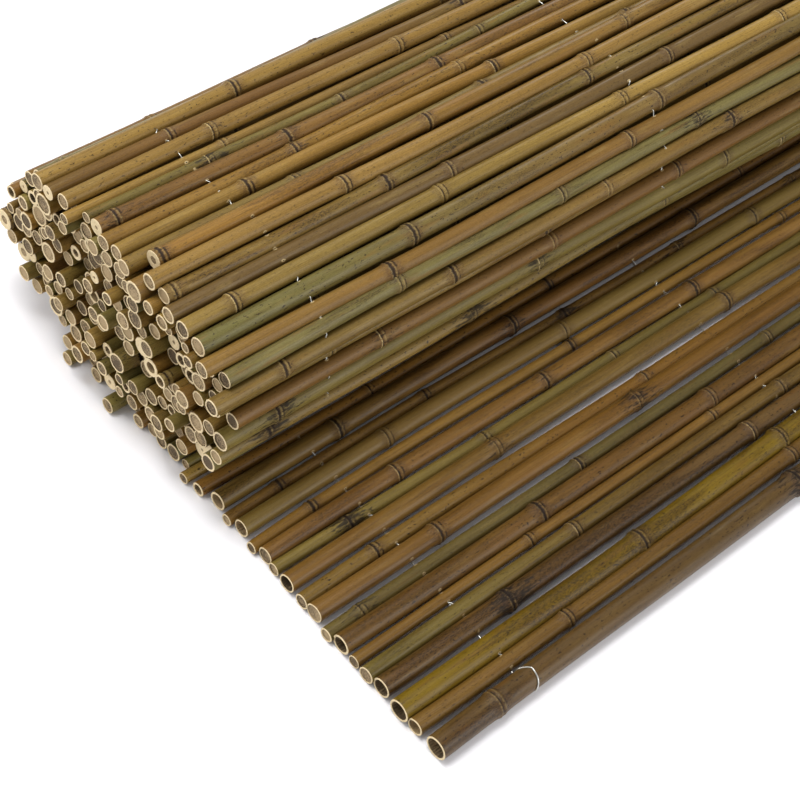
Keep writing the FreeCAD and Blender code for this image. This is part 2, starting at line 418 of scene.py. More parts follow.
@dataclass
class StemShape:
    """Outline of a bamboo stem: its joints' rings, its cut ends and its slight wander."""

    spec: CaneSpec
    look: CaneLook
    exits: tuple[float, ...]
    rows: tuple[float, ...]
    step: float = 14 * MM
    bow: float = 0.0
    lean: float = 0.0
    fullness: float = 0.965
    settle: float = 150 * MM
    gather: float = 40 * MM
    seldom_seen: float = 20 * MM
    joint_reach: float = 11 * MM
    hole_reach: float = 2.2 * MM
    edge: float = 1.0 * MM
    closest: float = 0.12 * MM
    ovality: float = 0.018
    dents: float = 0.008

    # a joint from the near side to the far side: distance and swell, in millimetres and shares
    JOINT_OUTLINE = ((-10.0, 0.0), (-5.0, 0.014), (-2.6, 0.05), (-1.6, 0.1), (-0.95, 0.13), (-0.5, 0.115),
                     (-0.1, 0.02), (0.4, 0.02), (1.1, 0.095), (1.9, 0.115), (2.9, 0.08), (3.4, 0.05),
                     (4.4, 0.03), (9.0, 0.0))

    def stations(self) -> list[float]:
        """The places along X where the stem gets a ring."""
        spec = self.spec
        places = {spec.near_x + self.edge, spec.far_x - self.edge}
        x = spec.near_x + self.step
        while x < spec.far_x - self.step / 2:
            places.add(x)
            x += self.step
        kept = [p for p in places if all(abs(p - j.x) > self.joint_reach for j in self.look.joints)]
        outline = self.JOINT_OUTLINE[::2 if self.step > self.seldom_seen else 1]
        for joint in self.look.joints:
            kept += [joint.x + d * MM for d, _ in outline]
        for row in self.rows:
            kept += [row - self.hole_reach, row, row + self.hole_reach]
        low, high = spec.near_x + 0.9 * self.edge, spec.far_x - 0.9 * self.edge
        kept = sorted(p for p in kept if low <= p <= high)
        return [p for i, p in enumerate(kept) if i == 0 or p - kept[i - 1] > self.closest]

    def swell(self, x: float) -> float:
        """Share by which the joints widen the stem at x."""
        most = 0.0
        for joint in self.look.joints:
            d = (x - joint.x) / MM
            if self.JOINT_OUTLINE[0][0] < d < self.JOINT_OUTLINE[-1][0]:
                xs, ys = zip(*self.JOINT_OUTLINE)
                most = max(most, float(np.interp(d, xs, ys)) * joint.swell)
        return most

    def wander(self, x: float) -> Pair:
        """How far the stem's middle strays from its straight axis at x; the near end stays in place."""
        look = self.look
        w, s = look.wobble * min(1.0, (x - self.spec.near_x) / self.settle), look.seed
        share = self.spec.share(x)
        aside = w * (math.sin(6.1 * x + s) + 0.35 * math.sin(17 * x + 2.3 * s))
        aside += self.bow * math.sin(math.pi * share)
        aside += self.lean * (1 - math.exp((self.spec.near_x - x) / self.gather))
        above = 0.6 * w * math.sin(7.3 * x + 1.7 * s) + look.skew[1] * share
        aside += look.skew[0] * share
        if look.joints:
            places = [j.x for j in look.joints]
            aside += float(np.interp(x, places, [j.kink[0] for j in look.joints])) * w / look.wobble
            above += float(np.interp(x, places, [j.kink[1] for j in look.joints])) * w / look.wobble
        return aside, abs(above) * 0.5 if look.lying else above

    def radii(self, x: float, angle: np.ndarray) -> np.ndarray:
        """Radius at each angle of the ring at x."""
        s = self.look.seed
        oval = 1 + self.ovality * np.cos(2 * angle + s + 3 * x) + self.dents * np.cos(3 * angle + 2 * s)
        return self.spec.radius(x) * self.fullness * (1 + self.swell(x)) * oval

    def nearest(self, x: float) -> Joint:
        """The joint nearest to x, or one far away on a stem without joints."""
        none = Joint(x - 1, 0, 0, 0, 0, (0, 0))
        return min(self.look.joints, key=lambda j: abs(x - j.x), default=none)

    def exit_distance(self, x: float, angle: float) -> float:
        """Arc length from a side of the stem to the nearest wire hole's line."""
        if not self.exits:
            return 50 * MM
        turn = min(abs((angle - e + math.pi) % (2 * math.pi) - math.pi) for e in self.exits)
        return turn * self.spec.radius(x)

    def build(self, mesh: StemMesh, strips: tuple["Strip", "Strip"]) -> None:
        """Adds the stem to a mesh.

        Args:
            mesh: The mesh.
            strips: Map strips of its near and far halves.
        """
        spec, n = self.spec, mesh.sides
        middle = (spec.near_x + spec.far_x) / 2
        places = self.stations()
        rings = [mesh.ring(x, self, x) for x in places]
        for i in range(len(places) - 1):
            half = strips[0] if (places[i] + places[i + 1]) / 2 < middle else strips[1]
            low, high = (spec.near_x, middle) if half is strips[0] else (middle, spec.far_x)
            share = [min(1.0, max(0.0, (p - low) / (high - low))) for p in places[i:i + 2]]
            joint = self.nearest((places[i] + places[i + 1]) / 2).x
            mesh.join(rings[i], rings[i + 1], Surface.SKIN, half.line(share[0], n), half.line(share[1], n),
                      ((places[i] - joint) / MM, (places[i + 1] - joint) / MM))
        self.cut_end(mesh, rings[0], places[0], True, strips[0])
        self.cut_end(mesh, rings[-1], places[-1], False, strips[1])

    def cut_end(self, mesh: StemMesh, skin: int, skin_x: float, near: bool, strip: "Strip") -> None:
        """Adds a sawn end: a broken edge, the pale wall and the sunken pith.

        Args:
            mesh: The mesh.
            skin: The last ring of the skin.
            skin_x: Where that ring is.
            near: True for the near end.
            strip: The map strip whose square holds the end.
        """
        spec, look, n = self.spec, self.look, mesh.sides
        out = -1 if near else 1
        face = spec.near_x if near else spec.far_x
        depth = 0.2 * MM if spec.closed else look.pith_depth[0 if near else 1]
        inner = 0.25 if spec.closed else look.pith_share
        profile = ((face - out * 0.3 * MM, 0.995, Surface.SKIN), (face, 0.965, Surface.CUT),
                   (face, inner + 0.03, Surface.CUT), (face - out * 0.25 * MM, inner, Surface.CUT),
                   (face - out * depth, inner * 0.97, Surface.PITH),
                   (face - out * depth * 0.85, inner * 0.5, Surface.PITH))
        before, before_uv = skin, strip.circle(1.0, n)
        joint = ((skin_x - self.nearest(skin_x).x) / MM,) * 2
        for x, share, surface in profile:
            ring = mesh.ring(x, self, skin_x, share)
            uv = strip.circle(share * 0.97, n)
            if near:
                mesh.join(ring, before, surface, uv, before_uv, joint)
            else:
                mesh.join(before, ring, surface, before_uv, uv, joint)
            before, before_uv = ring, uv
        mesh.close(before, Surface.PITH, before_uv, near)


@dataclass(frozen=True)
class Strip:
    """A band of the texture map that holds half a stem, and a square beside it for the cut end."""

    low: float
    high: float
    square: float = 0.055

    def line(self, share: float, sides: int) -> list[Pair]:
        """Map places around the stem at a share of the strip's length."""
        u = 0.004 + share * (0.988 - self.square)
        return [(u, self.low + (self.high - self.low) * k / sides) for k in range(sides + 1)]

    def circle(self, share: float, sides: int) -> list[Pair]:
        """Map places on a circle of the square for the cut end."""
        u, v = 0.997 - self.square / 2, (self.low + self.high) / 2
        return [(u + self.square / 2 * 0.98 * share * math.cos(2 * math.pi * k / sides),
                 v + (self.high - self.low) / 2 * share * math.sin(2 * math.pi * k / sides))
                for k in range(sides + 1)]


class Value:
    """A shader number that adds its own Math nodes when it is used in an expression."""

    def __init__(self, tree: "ShaderTree", socket: Socket) -> None:
        """Wraps a socket of the tree."""
        self.tree, self.socket = tree, socket

    def math(self, operation: str, *others: "Value | float", clamp: bool = False) -> "Value":
        """Adds a Math node on this value; clamp keeps its result from 0 to 1."""
        return self.tree.math(operation, self, *others, clamp=clamp)

    def __add__(self, other: "Value | float") -> "Value":
        """Sum."""
        return self.math("ADD", other)

    __radd__ = __add__

    def __sub__(self, other: "Value | float") -> "Value":
        """Difference."""
        return self.math("SUBTRACT", other)

    def __rsub__(self, other: float) -> "Value":
        """Difference with a number on the left."""
        return self.tree.math("SUBTRACT", other, self)

    def __mul__(self, other: "Value | float") -> "Value":
        """Product."""
        return self.math("MULTIPLY", other)

    __rmul__ = __mul__

    def __truediv__(self, other: "Value | float") -> "Value":
        """Quotient."""
        return self.math("DIVIDE", other)

    def __abs__(self) -> "Value":
        """Size without sign."""
        return self.math("ABSOLUTE")

    def ramp(self, start: float, end: float) -> "Value":
        """A smooth step from 0 at start to 1 at end, which may be the lower one."""
        node = self.tree.add("ShaderNodeMapRange", {"interpolation_type": "SMOOTHSTEP", "clamp": True},
                             {0: self, 1: min(start, end), 2: max(start, end),
                              3: 0.0 if start < end else 1.0, 4: 1.0 if start < end else 0.0})
        return Value(self.tree, node.outputs[0])


class ShaderTree:
    """One material's nodes."""

    def __init__(self, name: str) -> None:
        """Starts a material that holds only a Principled surface."""
        self.material = bpy.data.materials.new(name)
        self.material.use_nodes = True
        self.nodes = self.material.node_tree.nodes
        self.links = self.material.node_tree.links
        self.nodes.clear()
        self.output = self.add("ShaderNodeOutputMaterial", {}, {})
        self.surface = self.add("ShaderNodeBsdfPrincipled", {}, {})
        self.links.new(self.surface.outputs[0], self.output.inputs["Surface"])

    def add(self, kind: str, settings: dict[str, object],
            sockets: dict[int | str, object]) -> bpy.types.Node:
        """Adds any node.

        Args:
            kind: The node's type.
            settings: Its settings, set before its sockets.
            sockets: Values or links of its inputs, by place or name.

        Returns:
            The node.
        """
        node = self.nodes.new(kind)
        for key, value in settings.items():
            setattr(node, key, value)
        for key, value in sockets.items():
            self.feed(node.inputs[key], value)
        return node

    def feed(self, socket: Socket, value: object) -> None:
        """Sets or links one input."""
        if isinstance(value, (Value, Socket)):
            self.links.new(value.socket if isinstance(value, Value) else value, socket)
        elif isinstance(value, tuple) and len(value) == 3 and len(socket.default_value) == 4:
            socket.default_value = (*value, 1.0)
        else:
            socket.default_value = value

    def math(self, operation: str, *inputs: "Value | float", clamp: bool = False) -> Value:
        """Adds a Math node on inputs in order; clamp keeps its result from 0 to 1."""
        node = self.add("ShaderNodeMath", {"operation": operation, "use_clamp": clamp},
                        dict(enumerate(inputs)))
        return Value(self, node.outputs[0])

    def mix(self, share: Value | float, first: object, second: object,
            blend: str = "MIX") -> Socket:
        """Mixes two colours or links: share tells how much of the second, blend the way they mix."""
        node = self.add("ShaderNodeMix", {"data_type": "RGBA", "blend_type": blend},
                        {0: share, 6: first, 7: second})
        return node.outputs[2]

    def attribute(self, name: str, output: str) -> Socket:
        """Reads a point value that the mesh holds."""
        return self.add("ShaderNodeAttribute", {"attribute_name": name}, {}).outputs[output]

    def parts(self, vector: Socket) -> list[Value]:
        """Splits a vector into its three numbers."""
        node = self.add("ShaderNodeSeparateXYZ", {}, {0: vector})
        return [Value(self, node.outputs[i]) for i in range(3)]

    def noise(self, grain: Socket, along: float, across: float, detail: float = 3.0,
              rough: float = 0.55) -> Value:
        """Adds a soft noise that is drawn out along the cane.

        Args:
            grain: Place in the cane's own grain.
            along: Scale along the cane.
            across: Scale across it.
            detail: Number of finer layers.
            rough: How strong the finer layers are.

        Returns:
            The noise, from 0 to 1.
        """
        place = self.add("ShaderNodeVectorMath", {"operation": "MULTIPLY"},
                         {0: grain, 1: (along, across, across)})
        node = self.add("ShaderNodeTexNoise", {"noise_dimensions": "3D"},
                        {"Vector": place.outputs[0], "Scale": 1.0, "Detail": detail, "Roughness": rough})
        return Value(self, node.outputs[0])

    def bump(self, height: Value, strength: float, distance: float) -> Socket:
        """The normal that a height gives the surface."""
        node = self.add("ShaderNodeBump", {}, {"Strength": strength, "Distance": distance, "Height": height})
        return node.outputs[0]

    def set(self, **values: object) -> None:
        """Feeds the Principled surface; an underscore in a name stands for a space."""
        for name, value in values.items():
            self.feed(self.surface.inputs[name.replace("_", " ")], value)


@dataclass(frozen=True)
class CaneSkin:
    """The waxy outer skin of a weathered cane."""

    name: str
    pitch: float
    first: float
    # how far the whole skin is darkened: a tone trim for the rolled canes, painted shade for the laid-out
    # ones
    shade: Triple
    roughness: float = 0.34
    specular: float = 0.26
    mould: Triple = skin_colour(34, 28, 22)
    crevice: Triple = skin_colour(44, 30, 18)
    scar: Triple = skin_colour(76, 54, 30)
    bark: Triple = skin_colour(92, 66, 40)
    # pale waxy colour, for the wax bloom and for the painted highlight on the joints' ridges
    wax_and_highlight: Triple = skin_colour(184, 166, 112)
    lip: Triple = skin_colour(210, 192, 144)
    rust: Triple = skin_colour(142, 102, 46)
    torn: Triple = skin_colour(232, 216, 172)
    faded: Triple = (0.76, 0.73, 0.62)
    gritty: Triple = (0.68, 0.65, 0.58)
    dirty: Triple = (0.66, 0.6, 0.52)

    def make(self) -> Material:
        """Builds the skin's material."""
        t = ShaderTree(self.name)
        grain = t.attribute("grain", "Vector")
        joint = Value(t, t.attribute("from_joint", "Fac"))
        bold = Value(t, t.attribute("tone", "Alpha"))
        mould, exit_arc, pale = t.parts(t.attribute("marks", "Vector"))
        stain, speckle, _ = t.parts(t.attribute("traits", "Vector"))
        base = stain.math("MINIMUM", 1.0)
        x = t.parts(t.add("ShaderNodeTexCoord", {}, {}).outputs["Object"])[0]

        broad = t.noise(grain, 9.0, 60.0, 2.0)
        zone = t.noise(grain, 12.0, 110.0, 5.0, 0.62)
        patch = t.noise(grain, 26.0, 190.0, 4.0, 0.6)
        fibre = t.noise(grain, 30.0, 1900.0, 3.0, 0.65)
        mottle = t.noise(grain, 330.0, 900.0, 5.0, 0.72)
        streak = t.noise(grain, 560.0, 2100.0, 5.0, 0.75)
        blot = t.noise(grain, 110.0, 640.0, 5.0, 0.72)
        speck = t.noise(grain, 420.0, 900.0, 2.0, 0.5)
        grit = t.noise(grain, 800.0, 1700.0, 3.0, 0.7)
        joint = joint + (t.noise(grain, 60.0, 620.0, 4.0, 0.7) - 0.5) * (1.0 + bold * 1.6)

        colour = t.mix(broad.ramp(0.36, 0.62) * 0.5, t.attribute("tone", "Color"), self.faded, "MULTIPLY")
        colour = t.mix(patch.ramp(0.46, 0.3) * 0.2, colour, self.wax_and_highlight)
        colour = t.mix(grit.ramp(0.38, 0.62) * 0.55, colour, self.gritty, "MULTIPLY")
        colour = t.mix(patch.ramp(0.53, 0.66) * base * 0.35, colour, self.rust)
        colour = t.mix(fibre.ramp(0.45, 0.7) * 0.4, colour, self.scar)
        soiled = (zone.ramp(0.45, 0.62) * (base * base + 0.03) + (stain - base)).math("MINIMUM", 1.0)
        colour = t.mix(soiled * 0.8, colour, self.dirty, "MULTIPLY")
        colour = t.mix(soiled * streak.ramp(0.47, 0.58) * 0.75, colour, self.mould)

        bark = abs(joint - 1.0).ramp(9.5, 2.0) * streak.ramp(0.42, 0.56) * (bold * 0.6 + 0.4)
        colour = t.mix(bark * 0.85, colour, self.bark)
        # the joints' ridge tops drawn paler: partly their own colour, partly a painted highlight where the
        # ridges catch the light
        ridge_highlight = abs(abs(joint - 0.5) - 1.5).ramp(0.9, 0.3) * mottle.ramp(0.62, 0.44)
        colour = t.mix(ridge_highlight * 0.36, colour, self.wax_and_highlight)
        near = abs(joint - 1.0).ramp(36.0, 2.0)
        rot = (blot - 0.71 + near * mould * 0.3).math("MULTIPLY", 9.0, clamp=True)
        colour = t.mix(rot * 0.85, colour, self.mould)
        crevice = (abs(joint - 0.1) / (bold * 1.3 + 0.4)).ramp(1.1, 0.4)
        crevice = crevice * (blot + bold * 0.16).ramp(0.4, 0.54)
        second = (abs(joint - 3.4) / (bold * 0.7 + 0.5)).ramp(1.0, 0.3) * patch.ramp(0.42, 0.54)
        lip = abs(joint + 1.0).ramp(0.45, 0.2) * pale * mottle.ramp(0.66, 0.44)
        colour = t.mix(crevice * 0.94, colour, self.crevice)
        colour = t.mix(second * 0.85, colour, self.crevice)
        colour = t.mix(lip, colour, self.lip)
        dots = speck.ramp(0.635, 0.675) * (speckle + 0.15 + near * mould).math("MINIMUM", 1.0)
        colour = t.mix(dots * 0.85, colour, self.crevice)
        row = ((x - self.first + self.pitch / 2) / self.pitch).math("FRACT")
        to_row = abs(row - 0.5) * (self.pitch / MM)
        hole = (to_row * to_row + exit_arc * exit_arc * 1.4).math("SQRT") + (blot - 0.5) * 2.4
        tear = hole.ramp(1.5, 0.9)
        colour = t.mix(tear * 0.85, colour, self.torn)
        # dark spot where the wire enters: painted shade of the hole, which the mesh does not cut
        colour = t.mix(hole.ramp(0.75, 0.45) * 0.9, colour, self.crevice)

        height = ((fibre - 0.5) * 0.35 + (patch - 0.5) * 0.25 - crevice * 0.9 - second * 0.5
                  + bark * mottle * 1.3 - rot * 0.12 + tear * 0.6)
        rough = self.roughness + (patch - 0.5) * 0.22 + rot * 0.25 + tear * 0.25 + bark * 0.15 + fibre * 0.08
        t.set(Base_Color=t.mix(1.0, colour, self.shade, "MULTIPLY"), Roughness=rough,
              Specular_IOR_Level=self.specular, Normal=t.bump(height, 0.4, 0.6 * MM))
        return t.material


@dataclass(frozen=True)
class SawnWall:
    """The pale fibrous wall that shows where a cane is cut."""

    pale: Triple = skin_colour(224, 204, 162)
    darker: Triple = skin_colour(166, 140, 100)
    roughness: float = 0.8

    def make(self) -> Material:
        """Builds the wall's material."""
        t = ShaderTree("sawn_wall")
        grain = t.attribute("grain", "Vector")
        pores = t.noise(grain, 200.0, 2600.0, 3.0, 0.6)
        cloud = t.noise(grain, 200.0, 320.0, 2.0)
        colour = t.mix(pores.ramp(0.48, 0.68) * 0.5, self.pale, self.darker)
        colour = t.mix(cloud.ramp(0.55, 0.75) * 0.4, colour, self.darker)
        t.set(Base_Color=colour, Roughness=self.roughness, Normal=t.bump(pores, 0.4, 0.3 * MM))
        return t.material


@dataclass(frozen=True)
class SunkenPith:
    """The grey-brown pith and partition inside a cut cane."""

    light: Triple = skin_colour(166, 143, 106)
    dark: Triple = skin_colour(86, 70, 48)
    roughness: float = 0.9

    def make(self) -> Material:
        """Builds the pith's material."""
        t = ShaderTree("sunken_pith")
        grain = t.attribute("grain", "Vector")
        crumb = t.noise(grain, 200.0, 1100.0, 4.0, 0.7)
        batch = t.noise(grain, 30.0, 30.0, 1.0)
        share = t.parts(t.attribute("traits", "Vector"))[2]
        ring = (share * 34.0 + batch * 9.0).math("SINE")
        colour = t.mix((crumb + (batch - 0.5) * 0.8 + ring * 0.07).ramp(0.36, 0.66), self.light, self.dark)
        t.set(Base_Color=colour, Roughness=self.roughness, Normal=t.bump(crumb, 0.6, 0.6 * MM))
        return t.material


@dataclass(frozen=True)
class Galvanised:
    """Bright thin galvanised wire."""

    colour: Triple = skin_colour(206, 206, 200)
    roughness: float = 0.32

    def make(self) -> Material:
        """Builds the wire's material."""
        t = ShaderTree("galvanised_wire")
        t.set(Base_Color=self.colour, Metallic=0.85, Roughness=self.roughness)
        return t.material


class Detail(Enum):
    """How finely a bundle's stems are meshed: their sides, and the usual distance between their rings."""

    HIDDEN = (12, 60 * MM)
    ON_FLOOR = (12, 30 * MM)
    OUTSIDE = (14, 14 * MM)
    LAID_OUT = (18, 12 * MM)
    END = (24, 8 * MM)


@dataclass
class WireRows:
    """Where the rows of wire cross the canes."""

    first: float
    pitch: float
    count: int

    def places(self) -> tuple[float, ...]:
        """The rows' places along X."""
        return tuple(self.first + self.pitch * i for i in range(self.count))


@dataclass
class CaneBundle:
    """A run of neighbouring canes that makes one piece."""

    name: str
    nodes: tuple[str, ...]
    stems: list[StemShape]
    sides: int
    slot: str

    def build(self) -> bpy.types.Object:
        """Builds the bundle's mesh.

        Returns:
            The piece.
        """
        mesh = StemMesh(self.sides)
        share = 1.0 / (2 * len(self.stems))
        for i, stem in enumerate(self.stems):
            strips = tuple(Strip((2 * i + k + 0.06) * share, (2 * i + k + 0.94) * share,
                                 min(0.055, share * 0.9)) for k in range(2))
            stem.build(mesh, strips)
        data = bpy.data.meshes.new(self.name)
        data.from_pydata(np.concatenate(mesh.points).tolist(), [], mesh.faces)
        uv = data.uv_layers.new(name="OFBake")
        places = [c for face in mesh.corners for place in face for c in place]
        uv.data.foreach_set("uv", np.array(places, dtype=np.float32))
        for name, rows in mesh.values.items():
            kind, key = ("FLOAT_COLOR", "color") if name == "tone" else ("FLOAT_VECTOR", "vector")
            self.store(data, name, kind, key, rows)
        self.store(data, "from_joint", "FLOAT", "value", mesh.from_joint, "CORNER")
        data.polygons.foreach_set("material_index", np.array(mesh.surfaces, dtype=np.int32))
        data.polygons.foreach_set("use_smooth", np.array([s == 0 for s in mesh.surfaces]))
        data.update()
        return link(self.name, data)

    @staticmethod
    def store(data: bpy.types.Mesh, name: str, kind: str, key: str, values: list[np.ndarray | tuple],
              domain: str = "POINT") -> None:
        """Keeps one value for each point or face corner under a name that the shaders read."""
        attribute = data.attributes.new(name, kind, domain)
        attribute.data.foreach_set(key, np.concatenate(values).astype(np.float32).ravel())

    def dress(self, piece: bpy.types.Object, finishes: tuple[Material, ...]) -> None:
        """Gives the piece its finishes and its place in the frame.

        Args:
            piece: The piece.
            finishes: Skin, sawn wall and pith.
        """
        for finish in finishes:
            piece.data.materials.append(finish)
        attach(piece, "root")
        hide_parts(*self.nodes)
        LOG.info("%s: %d canes, %d faces", self.name, len(self.stems), len(piece.data.polygons))


@dataclass
class WireRun:
    """One row of wire: its long run with the end loop, and the short bits that show on the roll."""

    name: str
    node: str
    paths: list[list[Vector]]
    radius: float = 0.45 * MM
    sides: int = 8

    # a path of this many points or fewer is a short bit, which is drawn thinner
    BIT_POINTS = 4

    def tube(self, path: list[Vector], radius: float, points: list[Vector],
             faces: list[tuple[int, ...]]) -> None:
        """Adds one closed round tube along a path that stays near a plane of constant X.

        Args:
            path: Middle line of the tube.
            radius: Its radius.
            points: The mesh's points so far.
            faces: The mesh's faces so far.
        """
        n, first = self.sides, len(points)
        for i, place in enumerate(path):
            ahead = (path[min(i + 1, len(path) - 1)] - path[max(i - 1, 0)]).normalized()
            side = Vector((1, 0, 0)) - ahead * ahead.x
            side.normalize()
            up = ahead.cross(side)
            for k in range(n):
                a = 2 * math.pi * k / n
                points.append(place + (side * math.cos(a) + up * math.sin(a)) * radius)
            if i:
                a, b = first + (i - 1) * n, first + i * n
                faces += [(a + k, a + (k + 1) % n, b + (k + 1) % n, b + k) for k in range(n)]
        last = first + (len(path) - 1) * n
        faces += [tuple(first + k for k in reversed(range(n))), tuple(last + k for k in range(n))]

    def build(self) -> bpy.types.Object:
        """Builds the row's mesh.

        Returns:
            The piece.
        """
        points, faces = [], []
        for path in self.paths:
            thin = 0.7 if len(path) <= self.BIT_POINTS else 1.0
            self.tube(path, thin * self.radius, points, faces)
        data = bpy.data.meshes.new(self.name)
        data.from_pydata(points, [], faces)
        data.polygons.foreach_set("use_smooth", np.array([len(f) == 4 for f in faces]))
        data.update()
        return link(self.name, data)

    def dress(self, piece: bpy.types.Object, finish: Material) -> None:
        """Gives the wire its finish and its place in the frame."""
        piece.data.materials.append(finish)
        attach(piece, "root")
        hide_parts(self.node)
        LOG.info("%s: wire in %d parts", self.name, len(self.paths))


@dataclass
class Studio:
    """Pale floor, soft light and the camera of the photograph."""

    near_x: float
    end_y: float
    lens: float = 90.0
    sensor: float = 36.0
    floor_reach: float = 8.0
    floor_gap: float = 0.4 * MM
    surround: float = 0.45

    # the camera's axes and its place from the end cane's cut end, solved from the photo's perspective
    RIGHT = (0.74058, -0.64493, 0.18869)
    UP = (0.43932, 0.67718, 0.59028)
    STAND = (-0.4609, -0.2327, 0.9226)

    # name, place, aim, side in metres and power in watts of each soft light
    LAMPS = (("overhead", (-0.62, 0.45, 1.75), (-0.2, 0.0, 0.0), 0.8, 25.0),
             ("front", (0.2, -1.8, 0.8), (0.0, -0.05, 0.05), 1.2, 19.0),
             ("rim", (0.9, 1.3, 0.8), (0.2, 0.0, 0.1), 0.25, 4.0),
             ("left", (-1.5, 0.8, 0.8), (-0.4, 0.0, 0.0), 0.8, 7.0))

    def floor(self) -> None:
        """Lays a white floor that keeps the roll's shadow."""
        mesh, r = bpy.data.meshes.new("floor"), self.floor_reach
        mesh.from_pydata([(-r, -r, 0), (r, -r, 0), (r, r, 0), (-r, r, 0)], [], [(0, 1, 2, 3)])
        floor = link("floor", mesh)
        floor.location.z = -self.floor_gap
        t = ShaderTree("floor")
        t.set(Base_Color=(0.95, 0.94, 0.97), Roughness=0.9)
        mesh.materials.append(t.material)

    def lights(self) -> None:
        """Hangs the soft lights and sets a plain white surround."""
        world = bpy.data.worlds.new("surround")
        world.use_nodes = True
        back = world.node_tree.nodes["Background"]
        back.inputs[0].default_value = (1, 1, 1, 1)
        back.inputs[1].default_value = self.surround
        bpy.context.scene.world = world
        for lamp in self.LAMPS:
            self.softbox(*lamp)

    @staticmethod
    def softbox(name: str, place: Triple, aim: Triple,
                size: float, power: float) -> None:
        """Hangs one square soft light.

        Args:
            name: Its name.
            place: Where it hangs.
            aim: What it points at.
            size: Its side.
            power: Its power in watts.
        """
        lamp = bpy.data.lights.new(name, "AREA")
        lamp.shape, lamp.size, lamp.energy = "SQUARE", size, power
        ob = link(name, lamp)
        ob.location = place
        ob.rotation_mode = "QUATERNION"
        ob.rotation_quaternion = (Vector(aim) - Vector(place)).to_track_quat("-Z", "Y")

    def camera(self) -> None:
        """Sets the camera where the photograph was taken from."""
        data = bpy.data.cameras.new("camera")
        data.lens, data.sensor_width = self.lens, self.sensor
        data.clip_start, data.clip_end = 0.01, 50
        ob = link("camera", data)
        right, up = Vector(self.RIGHT), Vector(self.UP)
        turn = Matrix((right, up, right.cross(up))).transposed()
        x, y, z = self.STAND
        ob.matrix_world = Matrix.Translation((self.near_x + x, self.end_y + y, z)) @ turn.to_4x4()
        bpy.context.scene.camera = ob
        bpy.context.scene.view_settings.view_transform = "Standard"


